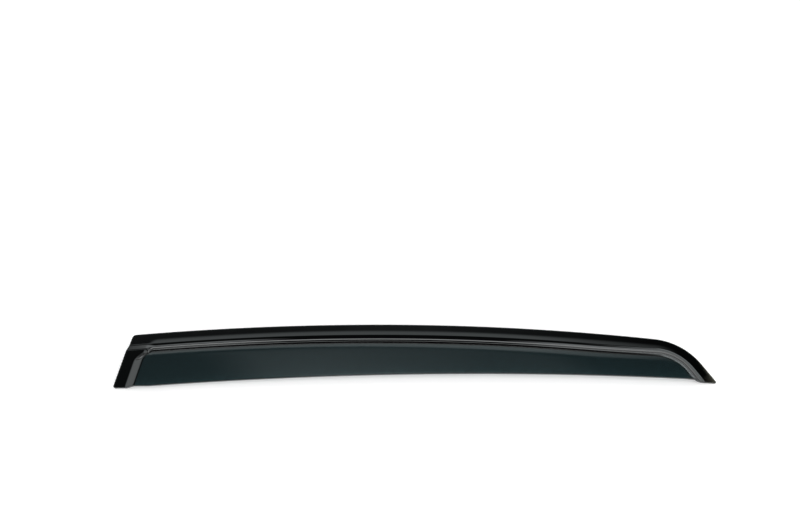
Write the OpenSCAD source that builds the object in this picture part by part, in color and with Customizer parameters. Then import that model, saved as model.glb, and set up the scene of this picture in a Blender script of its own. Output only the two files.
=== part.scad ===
// Window rain deflector for a rear door: a thermoformed smoked acrylic visor
// with two strips of foam tape and their release films on the back of its flange.
// It lies face up. X runs from the squared end to the nose, Y up the window and Z outwards.

/* [Outline] */
// Length over all, from the squared end to the tip of the nose
length = 750; // [650:5:850]
// Depth over all, from the foot of the squared end to the crown of the top edge
depth = 89; // [80:0.5:100]
// Distance of the top edge's crown from the squared end
crown_at = 326; // [280:1:360]
// Radius of the top edge behind its crown
rear_arch_r = 3610; // [3200:10:6000]
// Radius of the top edge ahead of its crown
front_arch_r = 3180; // [2900:10:4200]
// Distance of the lower edge's crown from the squared end
low_crown_at = 451; // [400:1:500]
// Rise of the lower edge's crown above the foot of the squared end
low_rise = 14.7; // [10:0.1:18]
// Radius of the lower edge
low_edge_r = 5600; // [4500:50:9000]
// Lean of the squared end from upright, in degrees
end_lean = 8.3; // [0:0.5:14]
// Radius of the squared end's upper corner
upper_corner_r = 4; // [3:0.5:9]
// Radius of the squared end's lower corner
lower_corner_r = 3; // [2:0.5:5]

/* [Nose] */
// Radius of the shoulder where the top edge turns down
shoulder_r = 68; // [60:1:80]
// Steepness of the straight edge between the shoulder and the tip, in degrees
tail_angle = 62; // [54:1:66]
// Rounding of the tip, measured along its two edges
tip_round = 2.5; // [2:0.5:5]
// Width of the section at the nose, as a share of its width along the top
nose_share = 0.82; // [0.75:0.01:1]
// Distance before the shoulder at which the section starts to narrow
nose_blend = 90; // [60:5:120]

/* [Section] */
// Thickness of the acrylic
wall = 2.8; // [2:0.1:3.2]
// Break on the cut edges of the outer face
edge_break = 0.6; // [0.3:0.1:0.8]
// Flat width of the flange, from its edge to the foot of the step
flange_w = 15; // [13:0.5:17]
// Rise of the panel above the flange
step_h = 8; // [7:0.25:9.5]
// Slope of the step's own face, in degrees
step_angle = 38.5; // [36:0.5:42]
// Inside radius at the foot of the step
foot_r = 19; // [14:0.5:20]
// Radius of the step's upper edge
edge_r = 3.6; // [3.4:0.1:4.5]
// Lean that the flange picks up before the step and the panel loses after it, in degrees
sweep_angle = 6.5; // [4:0.5:7]
// Distance of the start of that lean from the flange's edge
sweep_from = 8; // [6:0.5:9]
// Width over which that lean is picked up, on the flange and the foot of the step
sweep_w = 13.5; // [12:0.5:15]
// Width over which the panel loses its lean
panel_crown_w = 12.5; // [9:0.5:14]
// Height of the bow that follows the door, at the middle of the length
bow = 3.5; // [1:0.5:8]

/* [Squared end] */
// Flat width of the end flange
end_flange_w = 14.5; // [13.5:0.5:18]
// Rise of the panel above the end flange
end_step_h = 5.5; // [4.5:0.25:6]
// Slope of the end step's face, in degrees
end_step_angle = 29; // [25:1:34]
// Radius at the foot and the edge of the end step and of the ramp
end_step_r = 5; // [3:0.5:7]
// Slope of the ramp from the top flange up to the end flange, in degrees
ramp_angle = 22; // [18:1:26]
// Distance that the end step swings towards the nose at its upper corner
corner_swing = 8; // [5:0.5:10]
// Distance below the top step over which it swings
corner_run = 12; // [9:0.5:15]

/* [Tape] */
// Width of both strips of tape
tape_w = 10; // [7:0.5:11]
// Thickness of the foam tape
tape_t = 1.1; // [0.8:0.1:1.6]
// Thickness of the release film
liner_t = 0.15; // [0.1:0.05:0.3]
// Distance of both strips from the edge of the flange
tape_inset = 1.5; // [1:0.25:3]
// Distance of the top strip's cut end from the squared end
tape_end_gap = 4; // [3:0.5:8]
// Bare length of the top flange before the tip
tape_nose_gap = 15; // [10:1:40]
// Distance of the end strip's corners from the ramp and from the foot
end_tape_gap = 2; // [1:0.5:5]
// Radius of the end strip's corners
tape_corner_r = 1; // [0.5:0.25:2]
// Gap that stands for the glue line between two layers
glue_gap = 0.06; // [0.04:0.01:0.1]

/* [Hidden] */
// Rows and columns of facets in each stretch of the visor
tape_rows = 4;
foot_rows = 7;
edge_rows = 4;
crown_rows = 4;
panel_rows = 5;
end_cols = 9;
swing_cols = 4;
arch_cols = 24;
nose_cols = 26;
tape_cols = 56;
// Width of the facets beside the end step
end_side_col = 6;
// Distance in from the top edge at which the last row runs out along the nose's lower edge
panel_out = 46;
// The nose's columns crowd towards the tip by this power
nose_crowding = 1.3;
// Most of a step's rise that its fillets may take
fillet_limit = 0.95;
// Half the distance over which the face's slope is measured
slope_step = 0.05;

function unit(v) = v / norm(v);
function smooth(t) = let (c = min(1, max(0, t))) c * c * (3 - 2 * c);
function mix(a, b, t) = a + (b - a) * t;
function heading(a) = [sin(a), cos(a)];
function flat(grid) = [for (col = grid) each col];

// Outline: the top edge, with every distance s measured along it from its crown
// The rounding takes this much length off a corner whose edge leans by the slope k
function corner_cut(r, k) = r * (1 + k - norm([1, k]));
end_foot = [-length / 2 - corner_cut(lower_corner_r, sin(end_lean)), 0];
up_end = heading(end_lean);
off_end = [up_end.y, -up_end.x];
crown = end_foot + [crown_at, depth];
rear_c = crown - [0, rear_arch_r];
front_c = crown - [0, front_arch_r];
low_c = end_foot + [low_crown_at, low_rise - low_edge_r];
tail_n = heading(tail_angle);
tail_d = [tail_n.y, -tail_n.x];
function low_y(x) = max(0, low_c.y + sqrt(low_edge_r ^ 2 - (x - low_c.x) ^ 2));
tip_x = length / 2 + corner_cut(tip_round, cos(tail_angle));
tip = [tip_x, low_y(tip_x)];
from_front = tip - tail_n * shoulder_r - front_c;
tail_l = from_front * tail_d
    + sqrt((from_front * tail_d) ^ 2 - from_front * from_front + (front_arch_r - shoulder_r) ^ 2);
shoulder_c = tip - tail_n * shoulder_r - tail_d * tail_l;
shoulder_a = atan2(shoulder_c.x - front_c.x, shoulder_c.y - front_c.y);
s_shoulder = front_arch_r * shoulder_a * PI / 180;
s_tail = s_shoulder + shoulder_r * (tail_angle - shoulder_a) * PI / 180;
s_tip = s_tail + tail_l;
s_nose = s_shoulder - nose_blend;

function edge_a(s) =
    s < 0 ? s / rear_arch_r * 180 / PI :
    s < s_shoulder ? s / front_arch_r * 180 / PI :
    min(tail_angle, shoulder_a + (s - s_shoulder) / shoulder_r * 180 / PI);
// Point at s along the top edge and u in from it
function edge_at(s, u) =
    s < 0 ? rear_c + (rear_arch_r - u) * heading(edge_a(s)) :
    s < s_shoulder ? front_c + (front_arch_r - u) * heading(edge_a(s)) :
    shoulder_c + (shoulder_r - u) * heading(edge_a(s)) + max(0, s - s_tail) * tail_d;
// Distance s at which the line w in from the squared end crosses the line u in from the top
function end_s(u, w) =
    let (v = end_foot + off_end * w - rear_c,
         p = v + up_end * (sqrt((v * up_end) ^ 2 - v * v + (rear_arch_r - u) ^ 2) - v * up_end))
    rear_arch_r * atan2(p.x, p.y) * PI / 180;
// Distance in from the top edge to the lower edge, at s
function low_u(s) =
    let (n = heading(edge_a(s)), v = edge_at(s, 0) - low_c)
    v * n - sqrt((v * n) ^ 2 - v * v + low_edge_r ^ 2);
// Distance s at which the line u in from the tail runs out at the lower edge
function tail_s(u) =
    let (v = shoulder_c + (shoulder_r - u) * tail_n - low_c)
    s_tail - v * tail_d - sqrt((v * tail_d) ^ 2 - v * v + low_edge_r ^ 2);

// Section: rise of a step with a filleted foot and edge, at d from its foot
function fillet_share(h, a, r) = min(1, fillet_limit * h / (r * (1 - cos(a))));
function step_w(h, a, fr, er) = h / tan(a) + fillet_share(h, a, fr + er) * (fr + er) * tan(a / 2);
function step_z(d, h, a, fr, er) =
    let (k = fillet_share(h, a, fr + er), f = fr * k, e = er * k, w = step_w(h, a, fr, er))
    d <= 0 ? 0 :
    d < f * sin(a) ? f - sqrt(f * f - d * d) :
    d < w - e * sin(a) ? f * (1 - cos(a)) + (d - f * sin(a)) * tan(a) :
    d < w ? h - e + sqrt(e * e - (w - d) ^ 2) : h;
// Height gained where a slope grows from 0 to 1 over w and then stays
function grow(d, w) = d <= 0 ? 0 : d < w ? d * d / (2 * w) : d - w / 2;

sweep = tan(sweep_angle);
// The sweep carries part of the rise, and the step itself the rest
sweep_run = flange_w - sweep_from - sweep_w / 2 + (foot_r + edge_r) * tan(step_angle / 2) + panel_crown_w / 2;
step_rise = (step_h - sweep * sweep_run) / (1 + sweep / tan(step_angle));
step_top = flange_w + step_w(step_rise, step_angle, foot_r, edge_r);
end_rise = step_h - end_step_h;
// The end flange and the panel beside it slope, so that their foot comes down to the flange's level
end_u = rear_arch_r - norm(end_foot - rear_c);
tilt = end_rise / (end_u - step_top - panel_crown_w / 2);
ramp_top = flange_w + step_w(end_rise, ramp_angle, end_step_r, end_step_r);
ramp_rise = end_rise + tilt * (step_top + panel_crown_w / 2 - ramp_top);
end_step_w = step_w(end_step_h, end_step_angle, end_step_r, end_step_r);

// The tilt of the squared end fades out towards the nose
function tilt_at(x) = tilt * smooth(0.5 - x / length);
function panel_z(u, x) =
    step_z(u - flange_w, step_rise, step_angle, foot_r, edge_r)
    + sweep * grow(u - sweep_from, sweep_w)
    - (sweep + tilt_at(x)) * grow(u - step_top, panel_crown_w);
function end_z(u, x) =
    step_z(u - flange_w, ramp_rise, ramp_angle, end_step_r, end_step_r)
    - tilt_at(x) * max(0, u - ramp_top);
function bow_z(x) = bow * (1 - (2 * x / length) ^ 2);
function swing(u) = corner_swing * (1 - min(1, max(0, (u - step_top) / corner_run))) ^ 2;
function end_share(w, u) =
    step_z(w - end_flange_w - swing(u), end_step_h, end_step_angle, end_step_r, end_step_r) / end_step_h;
// Outer face over p, which lies u in from the top edge in the full section
function face_at(p, u) =
    let (w = (p - end_foot) * off_end)
    [p.x, p.y, bow_z(p.x) + mix(end_z(u, p.x), panel_z(u, p.x), end_share(w, u))];

// The section narrows towards the nose
function share_at(s) = mix(1, nose_share, smooth((s - s_nose) / (s_tail - s_nose)));
// Distance s along the top edge and u in from it, at the point p
function inset(p) =
    let (v = p - front_c, a = atan2(v.x, v.y), q = p - shoulder_c, b = atan2(q.x, q.y))
    a < 0 ? [rear_arch_r * atan2((p - rear_c).x, (p - rear_c).y) * PI / 180, rear_arch_r - norm(p - rear_c)] :
    a < shoulder_a ? [front_arch_r * a * PI / 180, front_arch_r - norm(v)] :
    b < tail_angle ? [s_shoulder + shoulder_r * (b - shoulder_a) * PI / 180, shoulder_r - norm(q)] :
    [s_tail + q * tail_d, shoulder_r - q * tail_n];
function height(p) = let (su = inset(p)) face_at(p, su[1] / share_at(su[0])).z;
function face_normal(p) =
    unit([height(p - [slope_step, 0]) - height(p + [slope_step, 0]),
          height(p - [0, slope_step]) - height(p + [0, slope_step]), 2 * slope_step]);

// Corners: a square corner of side r drawn in to a quarter circle
function pull(a, b, r) = r - (r - a) * sqrt(1 - ((r - b) / r) ^ 2 / 2);
function round_pair(a, b, r) = a < r && b < r ? [pull(a, b, r), pull(b, a, r)] : [a, b];
low_d = unit([low_c.y - tip.y, tip.x - low_c.x]);
function round_tip(p) =
    let (v = p - tip,
         k = -tail_d.x * low_d.y + tail_d.y * low_d.x,
         a = (v.x * low_d.y - v.y * low_d.x) / k,
         b = (-tail_d.x * v.y + tail_d.y * v.x) / k,
         r = round_pair(a, b, tip_round))
    tip - tail_d * r[0] + low_d * r[1];

// Grid of the outer face: rows are u in from the top edge, columns run to the nose
rows_top = concat(
    [0, edge_break, tape_inset],
    [for (k = [1:tape_rows]) tape_inset + tape_w * k / tape_rows],
    [flange_w],
    [for (k = [1:foot_rows]) mix(flange_w, step_top - edge_r * sin(step_angle), k / foot_rows)],
    [for (k = [1:edge_rows]) step_top + edge_r * sin(step_angle) * (k / edge_rows - 1)],
    [for (k = [1:crown_rows]) step_top + panel_crown_w * k / crown_rows]);
cols_end = concat(
    [0, edge_break, tape_end_gap, mix(tape_end_gap, end_flange_w, 0.5)],
    [for (k = [0:end_cols]) end_flange_w + end_step_w * k / end_cols],
    [for (k = [1:swing_cols]) end_flange_w + end_step_w + corner_swing * k / swing_cols],
    [end_flange_w + end_step_w + corner_swing + end_side_col]);
n_top = len(rows_top);
n_end = len(cols_end);
n_rows = n_top + panel_rows + 1;

function foot_at(w) =
    let (x = end_foot.x + w / up_end.y, y = low_y(x)) [x + y * up_end.x / up_end.y, y];
// One point of a straight column from s on the top edge to its foot
function column_point(s, foot, j) =
    let (t = edge_at(s, 0), n = heading(edge_a(s)), h = (t - foot) * n, u = row_u(j, h))
    face_at(mix(t, foot, u / h), u);
// The panel's rows lie between u = from and the lower edge at u = h
function panel_u(j, from, h) =
    j < n_rows - 1 ? mix(from, h - edge_break, (j - n_top + 1) / panel_rows) : h;
function row_u(j, h) = j < n_top ? rows_top[j] : panel_u(j, rows_top[n_top - 1], h);
// The same for a column w in from the squared end, with that end's corners rounded
function end_point(w, j) =
    let (foot = foot_at(w), s = end_s(0, w), h = (edge_at(s, 0) - foot) * heading(edge_a(s)),
         u = row_u(j, h),
         top = round_pair(w, u, upper_corner_r),
         low = round_pair(w, h - u, lower_corner_r),
         w2 = u < upper_corner_r ? top[0] : low[0],
         s2 = end_s(0, w2), t2 = edge_at(s2, 0), f2 = foot_at(w2),
         h2 = (t2 - f2) * heading(edge_a(s2)),
         u2 = u < upper_corner_r ? top[1] : h2 - low[1])
    face_at(mix(t2, f2, u2 / h2), u2);
// The nose rows run out one after another along the lower edge
function nose_out_u(j) =
    j < n_top ? rows_top[j] * nose_share :
    mix(rows_top[n_top - 1] * nose_share, panel_out, (j - n_top + 1) / (panel_rows + 1));
function nose_point(t, j) =
    let (s = mix(s_nose, tail_s(nose_out_u(j)), t), k = share_at(s), h = low_u(s),
         u = j < n_top ? rows_top[j] * k : mix(panel_u(j, rows_top[n_top - 1] * k, h), h, t),
         q = round_tip(edge_at(s, u)))
    face_at(q, u / k);

arch_from = end_s(0, cols_end[n_end - 1]);
arch_foot = foot_at(cols_end[n_end - 1]).x;
nose_foot = edge_at(s_nose, low_u(s_nose)).x;
// The last column of the nose is as wide as the edge break
last_t = 1 - edge_break / (s_tip - s_nose);
nose_ts = concat([for (k = [1:nose_cols]) last_t * (1 - (1 - k / nose_cols) ^ nose_crowding)], [1]);
face = concat(
    [for (w = cols_end) [for (j = [0:n_rows - 1]) end_point(w, j)]],
    [for (k = [1:arch_cols]) let (t = k / arch_cols, x = mix(arch_foot, nose_foot, t))
        [for (j = [0:n_rows - 1]) column_point(mix(arch_from, s_nose, t), [x, low_y(x)], j)]],
    [for (t = nose_ts) [for (j = [0:n_rows - 1]) nose_point(t, j)]]);
n_cols = len(face);
function rim(i, j) = i == 0 || j == 0 || i == n_cols - 1 || j == n_rows - 1;
function below_face(p, d) = p - d * face_normal([p.x, p.y]);
outer = [for (i = [0:n_cols - 1]) [for (j = [0:n_rows - 1])
    below_face(face[i][j], rim(i, j) ? edge_break : 0)]];
inner = [for (column = face) [for (p = column) below_face(p, wall)]];

// Top strip: layers under the flange, each a distance below the outer face
strip_us = [for (k = [0:tape_rows]) tape_inset + tape_w * k / tape_rows];
strip_grid = [for (i = [0:tape_cols]) [for (u = strip_us)
    let (s = mix(end_s(u, tape_end_gap), s_tip - tape_nose_gap, i / tape_cols))
    face_at(edge_at(s, u), u / share_at(s))]];
function strip_layer(below) = [for (column = strip_grid) [for (p = column) below_face(p, below)]];

// End strip: a plane under the middle of the end flange, between the ramp and the foot
end_tape_top = end_u - ramp_top - end_tape_gap;
end_tape_l = end_tape_top - end_tape_gap;
end_mid = end_foot + off_end * (tape_inset + tape_w / 2) + up_end * (end_tape_top + end_tape_gap) / 2;
function end_face(p) = face_at(p, rear_arch_r - norm(p - rear_c));
end_origin = end_face(end_mid);
end_x_dir = unit(end_face(end_mid + off_end) - end_origin);
end_n = unit(cross(end_x_dir, end_face(end_mid + up_end) - end_origin));
end_y_dir = cross(end_n, end_x_dir);
function end_plane(x, y, below) = end_origin + end_x_dir * x + end_y_dir * y - end_n * below;

tape_below = wall + glue_gap;
liner_below = tape_below + tape_t + glue_gap;
low_layer = flat(strip_layer(liner_below + liner_t));
end_corner = end_plane(-tape_w / 2, -end_tape_l / 2, liner_below + liner_t);
outline = flat(outer);
outline_in = flat(inner);
function span_mid(k) =
    (min([for (p = concat(outline, outline_in)) p[k]])
    + max([for (p = concat(outline, outline_in)) p[k]])) / 2;
lowest = min(end_corner.z, min([for (p = low_layer) p.z]));
datum = -[span_mid(0), span_mid(1), lowest];

// Solid between two matching grids of points, the first one above the other
module shell(above, below) {
    cols = len(above);
    rows = len(above[0]);
    n = cols * rows;
    function at(i, j) = i * rows + j;
    border = concat(
        [for (i = [0:cols - 2]) at(i, 0)],
        [for (j = [0:rows - 2]) at(cols - 1, j)],
        [for (i = [cols - 1:-1:1]) at(i, rows - 1)],
        [for (j = [rows - 1:-1:1]) at(0, j)]);
    quads = [for (i = [0:cols - 2]) for (j = [0:rows - 2])
        [at(i, j), at(i + 1, j), at(i + 1, j + 1), at(i, j + 1)]];
    polyhedron(
        points = concat(flat(above), flat(below)),
        faces = concat(
            [for (q = quads) each [[q[0], q[1], q[2]], [q[0], q[2], q[3]]]],
            [for (q = quads) each [[q[2] + n, q[1] + n, q[0] + n], [q[3] + n, q[2] + n, q[0] + n]]],
            [for (k = [0:len(border) - 1])
                let (p = border[k], q = border[(k + 1) % len(border)])
                each [[q, p, p + n], [q, p + n, q + n]]]));
}

module end_strip(below, thick) {
    multmatrix([for (r = [0:2])
        [end_x_dir[r], end_y_dir[r], end_n[r], end_plane(0, 0, below + thick)[r]]])
        linear_extrude(thick)
            offset(tape_corner_r)
                square([tape_w - 2 * tape_corner_r, end_tape_l - 2 * tape_corner_r], center = true);
}

module visor() {
    color([0.12, 0.16, 0.17, 0.9]) translate(datum) shell(outer, inner);
}

module top_tape() {
    color("#17181a") translate(datum)
        shell(strip_layer(tape_below), strip_layer(tape_below + tape_t));
}

module top_liner() {
    color("#b3202a") translate(datum)
        shell(strip_layer(liner_below), strip_layer(liner_below + liner_t));
}

module end_tape() {
    color("#17181a") translate(datum) end_strip(tape_below, tape_t);
}

module end_liner() {
    color("#b3202a") translate(datum) end_strip(liner_below, liner_t);
}

visor();
top_tape();
top_liner();
end_tape();
end_liner();
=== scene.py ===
"""Looks of the window rain deflector: smoke acrylic, foam tape and release film on a white studio floor."""

import math

import bpy
import numpy as np
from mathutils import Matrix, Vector


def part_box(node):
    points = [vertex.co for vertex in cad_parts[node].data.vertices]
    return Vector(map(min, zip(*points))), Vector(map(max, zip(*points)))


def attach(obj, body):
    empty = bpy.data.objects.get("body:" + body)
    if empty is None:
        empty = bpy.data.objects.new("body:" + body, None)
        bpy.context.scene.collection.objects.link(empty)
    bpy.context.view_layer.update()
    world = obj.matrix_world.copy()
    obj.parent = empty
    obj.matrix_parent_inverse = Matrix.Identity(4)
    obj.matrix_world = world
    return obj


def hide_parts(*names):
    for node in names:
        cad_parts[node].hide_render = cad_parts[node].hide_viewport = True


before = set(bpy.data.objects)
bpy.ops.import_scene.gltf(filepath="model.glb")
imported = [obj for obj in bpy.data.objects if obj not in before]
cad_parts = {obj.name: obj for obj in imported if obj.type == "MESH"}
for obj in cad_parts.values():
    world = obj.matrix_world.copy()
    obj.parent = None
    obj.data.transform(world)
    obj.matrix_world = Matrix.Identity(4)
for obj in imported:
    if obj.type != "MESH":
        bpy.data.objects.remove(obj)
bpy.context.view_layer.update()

MM = 0.001

# Camera: the photograph's, in the part's frame, in millimetres and degrees
CAMERA_AT = (-18.94, -475.4, 879.6)
CAMERA_PITCH = 54.9
LENS, SENSOR = 35.0, 36.0
CLIP_START = 10.0

# Sizes of the solids, in millimetres, as the part's source has them
LENGTH, DEPTH, CROWN_AT = 750.0, 89.0, 326.0
REAR_ARCH_R, FRONT_ARCH_R = 3610.0, 3180.0
LOW_CROWN_AT, LOW_RISE, LOW_EDGE_R = 451.0, 14.7, 5600.0
END_LEAN, UPPER_CORNER_R, LOWER_CORNER_R = 8.3, 4.0, 3.0
SHOULDER_R, TAIL_ANGLE, TIP_ROUND = 68.0, 62.0, 2.5
NOSE_SHARE, NOSE_BLEND = 0.82, 90.0
WALL, EDGE_BREAK, FLANGE_W = 2.8, 0.6, 15.0
STEP_H, STEP_ANGLE, FOOT_R, EDGE_R = 8.0, 38.5, 19.0, 3.6
SWEEP_ANGLE, SWEEP_FROM, SWEEP_W, PANEL_CROWN_W, BOW = 6.5, 8.0, 13.5, 12.5, 3.5
END_FLANGE_W, END_STEP_H, END_STEP_ANGLE, END_STEP_R, RAMP_ANGLE = 14.5, 5.5, 29.0, 5.0, 22.0
CORNER_SWING, CORNER_RUN = 8.0, 12.0
FILLET_LIMIT = 0.95
# Distance over which the slope of the face is taken
SLOPE_STEP = 0.05

rad = math.radians


def heading(a):
    """Unit vector at a degrees from +Y towards +X."""
    return np.array([math.sin(rad(a)), math.cos(rad(a))])


def mix(a, b, t):
    return a + (b - a) * t


def smooth(t):
    t = min(1.0, max(0.0, t))
    return t * t * (3 - 2 * t)


# Outline, with s measured along the top edge from its crown
def corner_cut(r, k):
    return r * (1 + k - math.hypot(1, k))


end_foot = np.array([-LENGTH / 2 - corner_cut(LOWER_CORNER_R, math.sin(rad(END_LEAN))), 0.0])
up_end = heading(END_LEAN)
off_end = np.array([up_end[1], -up_end[0]])
crown = end_foot + [CROWN_AT, DEPTH]
rear_c = crown - [0, REAR_ARCH_R]
front_c = crown - [0, FRONT_ARCH_R]
low_c = end_foot + [LOW_CROWN_AT, LOW_RISE - LOW_EDGE_R]
tail_n = heading(TAIL_ANGLE)
tail_d = np.array([tail_n[1], -tail_n[0]])


def low_y(x):
    return max(0.0, low_c[1] + math.sqrt(LOW_EDGE_R**2 - (x - low_c[0]) ** 2))


tip_x = LENGTH / 2 + corner_cut(TIP_ROUND, math.cos(rad(TAIL_ANGLE)))
tip = np.array([tip_x, low_y(tip_x)])
from_front = tip - tail_n * SHOULDER_R - front_c
along = float(from_front @ tail_d)
tail_l = along + math.sqrt(along**2 - from_front @ from_front + (FRONT_ARCH_R - SHOULDER_R) ** 2)
shoulder_c = tip - tail_n * SHOULDER_R - tail_d * tail_l
shoulder_a = math.degrees(math.atan2(shoulder_c[0] - front_c[0], shoulder_c[1] - front_c[1]))
s_shoulder = FRONT_ARCH_R * rad(shoulder_a)
s_tail = s_shoulder + SHOULDER_R * rad(TAIL_ANGLE - shoulder_a)
s_tip = s_tail + tail_l
s_nose = s_shoulder - NOSE_BLEND


def edge_a(s):
    if s < 0:
        return math.degrees(s / REAR_ARCH_R)
    if s < s_shoulder:
        return math.degrees(s / FRONT_ARCH_R)
    return min(TAIL_ANGLE, shoulder_a + math.degrees((s - s_shoulder) / SHOULDER_R))


def edge_at(s, u):
    """Point at s along the top edge and u in from it."""
    n = heading(edge_a(s))
    if s < 0:
        return rear_c + (REAR_ARCH_R - u) * n
    if s < s_shoulder:
        return front_c + (FRONT_ARCH_R - u) * n
    return shoulder_c + (SHOULDER_R - u) * n + max(0.0, s - s_tail) * tail_d


def end_s(u, w):
    v = end_foot + off_end * w - rear_c
    k = float(v @ up_end)
    p = v + up_end * (math.sqrt(k * k - v @ v + (REAR_ARCH_R - u) ** 2) - k)
    return REAR_ARCH_R * math.atan2(p[0], p[1])


def low_u(s):
    n, v = heading(edge_a(s)), edge_at(s, 0) - low_c
    k = float(v @ n)
    return k - math.sqrt(k * k - v @ v + LOW_EDGE_R**2)


def tail_s(u):
    v = shoulder_c + (SHOULDER_R - u) * tail_n - low_c
    k = float(v @ tail_d)
    return s_tail - k - math.sqrt(k * k - v @ v + LOW_EDGE_R**2)


# Section: heights over the flange's outer face
def fillet_share(h, a, r):
    return min(1.0, FILLET_LIMIT * h / (r * (1 - math.cos(rad(a)))))


def step_w(h, a, fr, er):
    return h / math.tan(rad(a)) + fillet_share(h, a, fr + er) * (fr + er) * math.tan(rad(a) / 2)


def step_z(d, h, a, fr, er):
    k, w, sa = fillet_share(h, a, fr + er), step_w(h, a, fr, er), math.sin(rad(a))
    f, e = fr * k, er * k
    if d <= 0:
        return 0.0
    if d < f * sa:
        return f - math.sqrt(f * f - d * d)
    if d < w - e * sa:
        return f * (1 - math.cos(rad(a))) + (d - f * sa) * math.tan(rad(a))
    if d < w:
        return h - e + math.sqrt(e * e - (w - d) ** 2)
    return h


def grow(d, w):
    """Height gained where a slope grows from 0 to 1 over w and then stays."""
    return 0.0 if d <= 0 else d * d / (2 * w) if d < w else d - w / 2


sweep = math.tan(rad(SWEEP_ANGLE))
sweep_run = (
    FLANGE_W - SWEEP_FROM - SWEEP_W / 2
    + (FOOT_R + EDGE_R) * math.tan(rad(STEP_ANGLE) / 2)
    + PANEL_CROWN_W / 2
)
step_rise = (STEP_H - sweep * sweep_run) / (1 + sweep / math.tan(rad(STEP_ANGLE)))
step_top = FLANGE_W + step_w(step_rise, STEP_ANGLE, FOOT_R, EDGE_R)
end_rise = STEP_H - END_STEP_H
end_u = REAR_ARCH_R - math.hypot(*(end_foot - rear_c))
tilt = end_rise / (end_u - step_top - PANEL_CROWN_W / 2)
ramp_top = FLANGE_W + step_w(end_rise, RAMP_ANGLE, END_STEP_R, END_STEP_R)
ramp_rise = end_rise + tilt * (step_top + PANEL_CROWN_W / 2 - ramp_top)
end_step_w = step_w(END_STEP_H, END_STEP_ANGLE, END_STEP_R, END_STEP_R)


def swing(u):
    """How far the end step swings towards the nose, near the top step."""
    return CORNER_SWING * (1 - min(1.0, max(0.0, (u - step_top) / CORNER_RUN))) ** 2


def face_at(p, u):
    """Outer face over p, which lies u in from the top edge in the full section."""
    x = p[0]
    w = float((p - end_foot) @ off_end)
    tilt_here = tilt * smooth(0.5 - x / LENGTH)
    panel = (
        step_z(u - FLANGE_W, step_rise, STEP_ANGLE, FOOT_R, EDGE_R)
        + sweep * grow(u - SWEEP_FROM, SWEEP_W)
        - (sweep + tilt_here) * grow(u - step_top, PANEL_CROWN_W)
    )
    end = step_z(u - FLANGE_W, ramp_rise, RAMP_ANGLE, END_STEP_R, END_STEP_R)
    end -= tilt_here * max(0.0, u - ramp_top)
    end_step = step_z(w - END_FLANGE_W - swing(u), END_STEP_H, END_STEP_ANGLE, END_STEP_R, END_STEP_R)
    return [x, p[1], BOW * (1 - (2 * x / LENGTH) ** 2) + mix(end, panel, end_step / END_STEP_H)]


def share_at(s):
    return mix(1.0, NOSE_SHARE, smooth((s - s_nose) / (s_tail - s_nose)))


def pull(a, b, r):
    return r - (r - a) * math.sqrt(1 - ((r - b) / r) ** 2 / 2)


def round_pair(a, b, r):
    return (pull(a, b, r), pull(b, a, r)) if a < r and b < r else (a, b)


low_d = np.array([low_c[1] - tip[1], tip[0] - low_c[0]])
low_d /= np.linalg.norm(low_d)


def round_tip(p):
    v = p - tip
    k = -tail_d[0] * low_d[1] + tail_d[1] * low_d[0]
    a = (v[0] * low_d[1] - v[1] * low_d[0]) / k
    b = (-tail_d[0] * v[1] + tail_d[1] * v[0]) / k
    r = round_pair(a, b, TIP_ROUND)
    return tip - tail_d * r[0] + low_d * r[1]


# Finer grid of the same shell: rows lie u in from the top edge, columns run from the squared end to the nose.
# Each edge of the grid has rows or columns at BREAK_US over its rounding, and the counts below fill the rest.
BREAK_US = [0.0, 0.05, 0.18, 0.36, EDGE_BREAK]
N_FLANGE, N_STEP, N_PANEL_CROWN, N_PANEL = 16, 22, 8, 16
N_END_FLANGE, N_END_STEP, N_SWING, N_PAST_SWING = 14, 24, 10, 4
N_ARCH, N_NOSE = 150, 90
PAST_SWING_W = 8.0
# Columns crowd towards the tip as this power of their share of the nose
NOSE_CROWDING = 1.3
# Distance in from the top edge at which the last row of the panel ends on the nose
PANEL_OUT = 46.0


def span(a, b, n):
    """n values after a, up to b."""
    return [mix(a, b, (k + 1) / n) for k in range(n)]


rows_top = (
    BREAK_US
    + span(EDGE_BREAK, FLANGE_W, N_FLANGE)
    + span(FLANGE_W, step_top, N_STEP)
    + span(step_top, step_top + PANEL_CROWN_W, N_PANEL_CROWN)
)
cols_end = BREAK_US + span(EDGE_BREAK, END_FLANGE_W, N_END_FLANGE)
cols_end += span(END_FLANGE_W, END_FLANGE_W + end_step_w, N_END_STEP)
cols_end += span(cols_end[-1], cols_end[-1] + CORNER_SWING, N_SWING)
cols_end += span(cols_end[-1], cols_end[-1] + PAST_SWING_W, N_PAST_SWING)
n_top = len(rows_top)
n_rows = n_top + N_PANEL + len(BREAK_US) - 1


def panel_u(j, start, h):
    """Row j of the panel's, between start and the lower edge at h."""
    k = j - n_top + 1
    if k <= N_PANEL:
        return mix(start, h - EDGE_BREAK, k / N_PANEL)
    return h - BREAK_US[N_PANEL + len(BREAK_US) - 1 - k]


def row_u(j, h):
    return rows_top[j] if j < n_top else panel_u(j, rows_top[-1], h)


def foot_at(w):
    x = end_foot[0] + w / up_end[1]
    y = low_y(x)
    return np.array([x + y * up_end[0] / up_end[1], y])


def column_point(s, foot, j):
    t = edge_at(s, 0)
    h = float((t - foot) @ heading(edge_a(s)))
    u = row_u(j, h)
    return face_at(mix(t, foot, u / h), u)


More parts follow.
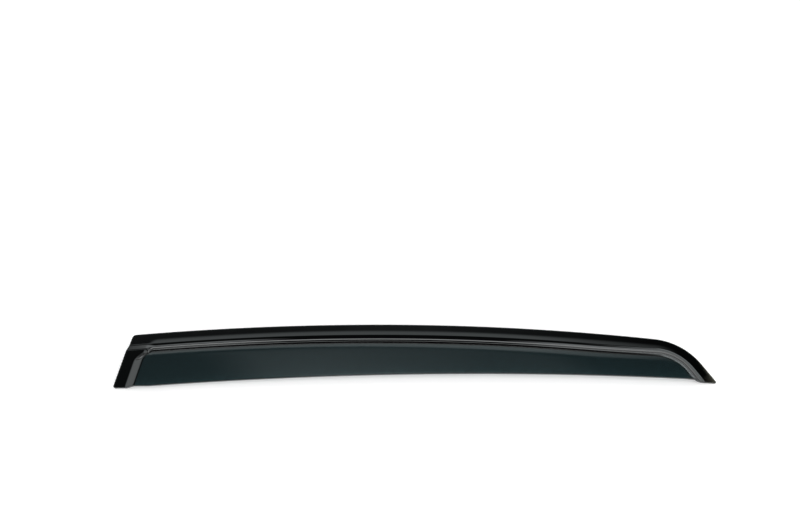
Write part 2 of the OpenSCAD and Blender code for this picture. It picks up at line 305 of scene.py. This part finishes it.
def end_point(w, j):
    foot, s = foot_at(w), end_s(0, w)
    h = float((edge_at(s, 0) - foot) @ heading(edge_a(s)))
    u = row_u(j, h)
    upper = u < UPPER_CORNER_R
    pair = round_pair(w, u, UPPER_CORNER_R) if upper else round_pair(w, h - u, LOWER_CORNER_R)
    s2, f2 = end_s(0, pair[0]), foot_at(pair[0])
    t2 = edge_at(s2, 0)
    h2 = float((t2 - f2) @ heading(edge_a(s2)))
    u2 = pair[1] if upper else h2 - pair[1]
    return face_at(mix(t2, f2, u2 / h2), u2)


def nose_out_u(j):
    if j < n_top:
        return rows_top[j] * NOSE_SHARE
    return mix(rows_top[-1] * NOSE_SHARE, PANEL_OUT, (j - n_top + 1) / (n_rows - n_top))


def nose_point(t, j):
    s = mix(s_nose, tail_s(nose_out_u(j)), t)
    k, h = share_at(s), low_u(s)
    u = rows_top[j] * k if j < n_top else mix(panel_u(j, rows_top[-1] * k, h), h, t)
    return face_at(round_tip(edge_at(s, u)), u / k)


arch_from, arch_foot = end_s(0, cols_end[-1]), foot_at(cols_end[-1])[0]
nose_foot = edge_at(s_nose, low_u(s_nose))[0]
break_ts = [1 - u / (s_tip - s_nose) for u in reversed(BREAK_US)]
nose_ts = [break_ts[0] * (1 - (1 - (k + 1) / N_NOSE) ** NOSE_CROWDING) for k in range(N_NOSE)] + break_ts[1:]

columns = [[end_point(w, j) for j in range(n_rows)] for w in cols_end]
for k in range(N_ARCH):
    x = mix(arch_foot, nose_foot, (k + 1) / N_ARCH)
    foot, s = np.array([x, low_y(x)]), mix(arch_from, s_nose, (k + 1) / N_ARCH)
    columns.append([column_point(s, foot, j) for j in range(n_rows)])
columns += [[nose_point(t, j) for j in range(n_rows)] for t in nose_ts]
face = np.array(columns)
n_cols = len(columns)


def inset(p):
    """Distance s along the top edge and u in from it, at the point p."""
    v, q = p - front_c, p - shoulder_c
    a, b = math.degrees(math.atan2(*v)), math.degrees(math.atan2(*q))
    if a < 0:
        v = p - rear_c
        return REAR_ARCH_R * math.atan2(*v), REAR_ARCH_R - math.hypot(*v)
    if a < shoulder_a:
        return FRONT_ARCH_R * rad(a), FRONT_ARCH_R - math.hypot(*v)
    if b < TAIL_ANGLE:
        return s_shoulder + SHOULDER_R * rad(b - shoulder_a), SHOULDER_R - math.hypot(*q)
    return s_tail + float(q @ tail_d), SHOULDER_R - float(q @ tail_n)


def height(p):
    s, u = inset(p)
    return face_at(p, u / share_at(s))[2]


def face_normal(p):
    dx, dy = np.array([SLOPE_STEP, 0.0]), np.array([0.0, SLOPE_STEP])
    n = np.array([height(p - dx) - height(p + dx), height(p - dy) - height(p + dy), 2 * SLOPE_STEP])
    return n / np.linalg.norm(n)


def drops(count):
    """How far the rounded edge has dropped at each of count rows or columns."""
    d = np.zeros(count)
    for k, u in enumerate(BREAK_US):
        d[k] = d[count - 1 - k] = EDGE_BREAK - math.sqrt(EDGE_BREAK**2 - (EDGE_BREAK - u) ** 2)
    return d


face_n = np.array([[face_normal(p[:2]) for p in column] for column in face])
drop = np.maximum.outer(drops(n_cols), drops(n_rows))
outer = face - face_n * drop[:, :, None]
inner = face - face_n * WALL


def shell_mesh(name, above, below, edge):
    """Closed mesh between two matching grids. The quads of edge and the sides take the second material, the
    opaque near-black acrylic: real at the cut rims, painted shade over the flanges and steps.
    """
    cols, rows = above.shape[:2]
    n = cols * rows
    idx = np.arange(n).reshape(cols, rows)
    q = np.stack([idx[:-1, :-1], idx[1:, :-1], idx[1:, 1:], idx[:-1, 1:]], axis=-1).reshape(-1, 4)
    rim = np.concatenate([idx[:-1, 0], idx[-1, :-1], idx[:0:-1, -1], idx[0, :0:-1]])
    nxt = np.roll(rim, -1)
    side = np.stack([nxt, rim, rim + n, nxt + n], axis=-1)
    faces = np.concatenate([q[:, ::-1], q + n, side[:, ::-1]])
    points = np.concatenate([above.reshape(-1, 3), below.reshape(-1, 3)])
    mesh = bpy.data.meshes.new(name)
    mesh.from_pydata(points.tolist(), [], faces.tolist())
    rim_and_painted_shade_faces = np.concatenate([edge.reshape(-1), edge.reshape(-1), np.ones(len(side), bool)])
    mesh.polygons.foreach_set("material_index", rim_and_painted_shade_faces.astype(int))
    mesh.validate()
    mesh.update()
    return mesh


# Quads of the flanges, steps and edges, and of a little of the panel past the step. They take the opaque
# near-black acrylic: at the rims this is how the thick sheet looks, and elsewhere it is painted shade
# standing in for the shaded floor seen through them.
PAINTED_SHADE_PAST_STEP = 1.0
edge = np.zeros((n_cols - 1, n_rows - 1), bool)
edge[:, : sum(u < step_top + PAINTED_SHADE_PAST_STEP for u in rows_top)] = True
edge[: sum(w < END_FLANGE_W + end_step_w for w in cols_end)] = True
edge[-len(BREAK_US) + 1 :] = True
edge[:, -len(BREAK_US) + 1 :] = True

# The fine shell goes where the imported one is, and stays in its box
pts = np.concatenate([outer.reshape(-1, 3), inner.reshape(-1, 3)])
cad_low, cad_high = (np.array(c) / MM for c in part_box("visor"))
to_centre = (cad_low + cad_high)[:2] / 2 - (pts.min(0) + pts.max(0))[:2] / 2
shift = np.append(to_centre, cad_high[2] - pts[:, 2].max())
above, below = (np.clip(g + shift, cad_low, cad_high) * MM for g in (outer, inner))
shell = bpy.data.objects.new("visor_shell", shell_mesh("visor_shell", above, below, edge))
bpy.context.scene.collection.objects.link(shell)
shell.data.shade_smooth()
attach(shell, "root")
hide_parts("visor")


# Materials
def new_material(name):
    m = bpy.data.materials.new(name)
    m.use_nodes = True
    m.node_tree.nodes.clear()
    return m, m.node_tree


def node(tree, kind, **values):
    """Adds a node. Values are its settings, or its inputs by name with spaces written as underscores."""
    n = tree.nodes.new(kind)
    for key, value in values.items():
        if hasattr(n, key):
            setattr(n, key, value)
        else:
            n.inputs[key.replace("_", " ")].default_value = value
    return n


def ramp(tree, fac, stops):
    """Color Ramp over fac with stops (position, grey or colour)."""
    r = tree.nodes.new("ShaderNodeValToRGB")
    els = r.color_ramp.elements
    while len(els) < len(stops):
        els.new(0.5)
    for e, (pos, c) in zip(els, stops):
        e.position = pos
        e.color = (*c, 1) if isinstance(c, tuple) else (c, c, c, 1)
    tree.links.new(fac, r.inputs["Fac"])
    return r.outputs["Color"]


def calc(tree, operation, *values):
    """Math node over values, each a socket or a number."""
    n = node(tree, "ShaderNodeMath", operation=operation)
    for socket, value in zip(n.inputs, values):
        if isinstance(value, (int, float)):
            socket.default_value = value
        else:
            tree.links.new(value, socket)
    return n.outputs[0]


def noise(tree, coord, scale, detail, rough, stretch=(1, 1, 1)):
    m = node(tree, "ShaderNodeMapping")
    m.inputs["Scale"].default_value = stretch
    tree.links.new(coord, m.inputs["Vector"])
    n = node(tree, "ShaderNodeTexNoise", Scale=scale, Detail=detail, Roughness=rough)
    tree.links.new(m.outputs["Vector"], n.inputs["Vector"])
    return n.outputs["Fac"]


def bump(tree, height, strength, distance):
    b = node(tree, "ShaderNodeBump", Strength=strength, Distance=distance)
    tree.links.new(height, b.inputs["Height"])
    return b.outputs["Normal"]


# Smoke acrylic: the gloss over a tint that the floor shows through in the panel and at the tip of the nose.
# The flanges, the steps and the edges are gloss alone over a near-black base, with nothing seen through. This
# is painted shade, apart from the real darkness of the cut rims. Tint and share of the gloss go by X, in
# metres.
BASE = (0.0012, 0.0014, 0.0015, 1)
GLOSS_TINT = (0.9, 1.0, 1.01, 1)
GLOSS_SHARE = 0.7
# Specular level of the whole gloss; a share of it is as much stronger
SPECULAR = 0.5
TINT = [(0.335, (0.51, 0.71, 0.745)), (0.362, (0.84, 0.83, 0.74))]


def acrylic(name, shares):
    """Acrylic with the gloss's share at one or more X, as pairs (X, share)."""
    m, t = new_material(name)
    coord = node(t, "ShaderNodeTexCoord").outputs["Object"]
    along_x = node(t, "ShaderNodeSeparateXYZ")
    t.links.new(coord, along_x.inputs[0])
    gloss = node(t, "ShaderNodeBsdfPrincipled", IOR=1.49, Specular_IOR_Level=SPECULAR / shares[0][1])
    gloss.inputs["Base Color"].default_value = BASE
    gloss.inputs["Specular Tint"].default_value = GLOSS_TINT
    haze = noise(t, coord, scale=26, detail=4, rough=0.6)
    t.links.new(ramp(t, haze, [(0.3, 0.035), (0.75, 0.075)]), gloss.inputs["Roughness"])
    wave = noise(t, coord, scale=9, detail=2, rough=0.5, stretch=(0.35, 1, 1))
    t.links.new(bump(t, wave, strength=0.25, distance=0.0006), gloss.inputs["Normal"])
    clear = node(t, "ShaderNodeBsdfTransparent")
    t.links.new(ramp(t, along_x.outputs["X"], TINT), clear.inputs["Color"])
    both = node(t, "ShaderNodeMixShader")
    if len(shares) == 1:
        both.inputs[0].default_value = shares[0][1]
    else:
        t.links.new(ramp(t, along_x.outputs["X"], shares), both.inputs[0])
    t.links.new(clear.outputs[0], both.inputs[1])
    t.links.new(gloss.outputs[0], both.inputs[2])
    t.links.new(both.outputs[0], node(t, "ShaderNodeOutputMaterial").inputs["Surface"])
    shell.data.materials.append(m)


acrylic("smoke_acrylic", [(0.0, GLOSS_SHARE)])
# Opaque near-black acrylic of the flanges, steps and rims, painted shade except at the rims; towards the tip
# of the nose it lets the floor through again.
acrylic("smoke_acrylic_rim_and_painted_shade", [(0.354, 1.0), (0.372, GLOSS_SHARE)])

# Foam tape: matt black with open cells at its cut edges
m_tape, t = new_material("foam_tape")
coord = node(t, "ShaderNodeTexCoord").outputs["Object"]
foam = node(t, "ShaderNodeBsdfPrincipled", Roughness=0.85, IOR=1.45, Specular_IOR_Level=0.25)
blacks = [(0.35, (0.006, 0.006, 0.0065)), (0.7, (0.014, 0.014, 0.015))]
t.links.new(ramp(t, noise(t, coord, scale=900, detail=3, rough=0.6), blacks), foam.inputs["Base Color"])
cells = noise(t, coord, scale=1800, detail=3, rough=0.7)
t.links.new(bump(t, cells, strength=0.6, distance=0.0002), foam.inputs["Normal"])
t.links.new(foam.outputs[0], node(t, "ShaderNodeOutputMaterial").inputs["Surface"])

# Release film: thin red plastic, slightly wrinkled
m_film, t = new_material("release_film")
coord = node(t, "ShaderNodeTexCoord").outputs["Object"]
film = node(t, "ShaderNodeBsdfPrincipled", IOR=1.5, Roughness=0.22)
reds = [(0.3, (0.42, 0.012, 0.022)), (0.7, (0.52, 0.02, 0.03))]
t.links.new(ramp(t, noise(t, coord, scale=60, detail=3, rough=0.5), reds), film.inputs["Base Color"])
wrinkles = noise(t, coord, scale=120, detail=2, rough=0.5, stretch=(0.3, 1, 1))
t.links.new(bump(t, wrinkles, strength=0.3, distance=0.0004), film.inputs["Normal"])
t.links.new(film.outputs[0], node(t, "ShaderNodeOutputMaterial").inputs["Surface"])

materials = {"top_tape": m_tape, "end_tape": m_tape, "top_liner": m_film, "end_liner": m_film}
for name, material in materials.items():
    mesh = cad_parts[name].data
    mesh.materials.clear()
    mesh.materials.append(material)

# Floor, in metres: white paper, lifted to full white where the camera sees it, straight or in the gloss
FLOOR_HALF = 4.0
FLOOR_PAPER = (0.92, 0.92, 0.92, 1)
FLOOR_LIFT = 0.25
corners = [(FLOOR_HALF * x, FLOOR_HALF * y, 0) for x, y in ((-1, -1), (1, -1), (1, 1), (-1, 1))]
floor_mesh = bpy.data.meshes.new("floor")
floor_mesh.from_pydata(corners, [], [(0, 1, 2, 3)])
floor = bpy.data.objects.new("floor", floor_mesh)
bpy.context.scene.collection.objects.link(floor)
m_floor, t = new_material("floor")
paper = node(t, "ShaderNodeBsdfDiffuse", Color=FLOOR_PAPER)
path = node(t, "ShaderNodeLightPath").outputs
seen = calc(t, "MAXIMUM", path["Is Camera Ray"], path["Is Glossy Ray"])
seen = calc(t, "MAXIMUM", seen, path["Is Transmission Ray"])
white = node(t, "ShaderNodeEmission")
t.links.new(calc(t, "MULTIPLY", seen, FLOOR_LIFT), white.inputs["Strength"])
sheet = node(t, "ShaderNodeAddShader")
t.links.new(paper.outputs[0], sheet.inputs[0])
t.links.new(white.outputs[0], sheet.inputs[1])
t.links.new(sheet.outputs[0], node(t, "ShaderNodeOutputMaterial").inputs["Surface"])
floor_mesh.materials.append(m_floor)

# Studio: soft boxes as bands of the sky, in degrees of elevation and of azimuth from +Y towards +X
world = bpy.data.worlds.new("studio")
bpy.context.scene.world = world
world.use_nodes = True
t = world.node_tree
t.nodes.clear()
sky_dir = node(t, "ShaderNodeSeparateXYZ")
t.links.new(node(t, "ShaderNodeTexCoord").outputs["Generated"], sky_dir.inputs[0])

# Angle over the back horizon as the object's section shows it, which keeps long soft boxes along X straight
sky_x, sky_y, sky_z = sky_dir.outputs
over_back = calc(t, "DIVIDE", calc(t, "ARCTAN2", sky_z, sky_y), math.pi)
elevation = calc(t, "DIVIDE", calc(t, "ARCSINE", sky_z), math.pi / 2)
azimuth = calc(t, "MULTIPLY_ADD", calc(t, "ARCTAN2", sky_x, sky_y), 0.5 / math.pi, 0.5)
# Strength that a ramp's 1 stands for
SKY_SCALE = 4.0


def by_section(stops):
    return ramp(t, over_back, [(a / 180, v / SKY_SCALE) for a, v in stops])


def by_elevation(stops):
    return ramp(t, elevation, [(a / 90, v / SKY_SCALE) for a, v in stops])


def by_azimuth(stops):
    return ramp(t, azimuth, [(0.5 + a / 360, v) for a, v in stops])


# Strengths: soft boxes along the object, the wide glow over them, small boxes at the sides, and the front
horizon = by_section([(0, 4.0), (2.5, 4.0), (4.5, 0.0)])
boxes = by_section([(4, 0.02), (48.5, 0.02), (51, 1.35), (56.5, 1.25), (59, 0.12), (62, 0.06), (180, 0.0)])
glow = by_elevation([(59, 0.0), (61, 0.4), (64, 0.5), (66, 0.65), (68.5, 1.1), (75, 1.7), (90, 1.9)])
low_left = by_elevation([(8, 0), (12, 1.2), (16, 2.2), (22, 1.7), (27, 0)])
low_end = by_elevation([(2, 0), (5, 1.24), (16, 1.24), (45, 1.2), (57, 0.5), (60, 0)])
low_right = by_elevation([(4, 0), (9, 2.3), (20, 1.7), (26, 0)])
tall_right = by_elevation([(20, 0), (26, 1.6), (38, 1.6), (42, 0)])
strip_right = by_elevation([(36, 0), (38.5, 3.6), (43, 3.6), (45, 0)])
front = by_elevation([(0, 1.0), (10, 1.0), (30, 1.35), (90, 1.5)])
# How much of each shows at an azimuth
of_horizon = by_azimuth([(-32, 0), (-24, 1), (20, 1), (40, 0.6), (75, 0.5)])
of_boxes = by_azimuth([(-90, 1), (18, 1), (30, 0.45), (38, 0)])
of_glow = by_azimuth([
    (-45, 0), (-37, 0.05), (-28, 0.65), (-17, 0.68), (0, 0.56), (10, 0.5), (16, 0.38), (25, 0.5), (35, 0.32),
])
of_left = by_azimuth([
    (-50, 0), (-46, 0.55), (-30, 0.55), (-26, 0.4), (-23.5, 0.2), (-20.5, 0.9), (-15, 1), (-10, 0),
])
of_end = by_azimuth([(-75, 1), (-50, 1), (-44, 0)])
of_right = by_azimuth([(10, 0), (15, 1), (75, 1)])
of_tall = by_azimuth([(20.5, 0), (23.5, 1), (75, 1)])
of_strip = by_azimuth([(27, 0), (30, 1), (75, 1)])
is_front = by_azimuth([(-110, 1), (-80, 0), (80, 0), (110, 1)])


def blend(fac, a, b):
    n = node(t, "ShaderNodeMix", data_type="RGBA")
    t.links.new(fac, n.inputs["Factor"])
    t.links.new(a, n.inputs["A"])
    t.links.new(b, n.inputs["B"])
    return n.outputs["Result"]


def vector(op, a, b):
    n = node(t, "ShaderNodeVectorMath", operation=op)
    t.links.new(a, n.inputs[0])
    t.links.new(b, n.inputs[1])
    return n.outputs[0]


sky = vector("MULTIPLY", boxes, of_boxes)
sides = (
    (horizon, of_horizon), (glow, of_glow), (low_left, of_left), (low_end, of_end),
    (low_right, of_right), (tall_right, of_tall), (strip_right, of_strip),
)
for light, side in sides:
    sky = vector("ADD", sky, vector("MULTIPLY", light, side))
sky = blend(is_front, sky, front)
background = node(t, "ShaderNodeBackground", Strength=SKY_SCALE)
t.links.new(sky, background.inputs["Color"])
t.links.new(background.outputs[0], node(t, "ShaderNodeOutputWorld").inputs["Surface"])

# Camera
camera = bpy.data.objects.new("camera", bpy.data.cameras.new("camera"))
bpy.context.scene.collection.objects.link(camera)
camera.location = Vector(CAMERA_AT) * MM
camera.rotation_euler = (rad(90 - CAMERA_PITCH), 0, 0)
camera.data.lens, camera.data.sensor_width = LENS, SENSOR
camera.data.clip_start = CLIP_START * MM
bpy.context.scene.camera = camera
bpy.context.scene.view_settings.view_transform = "Standard"
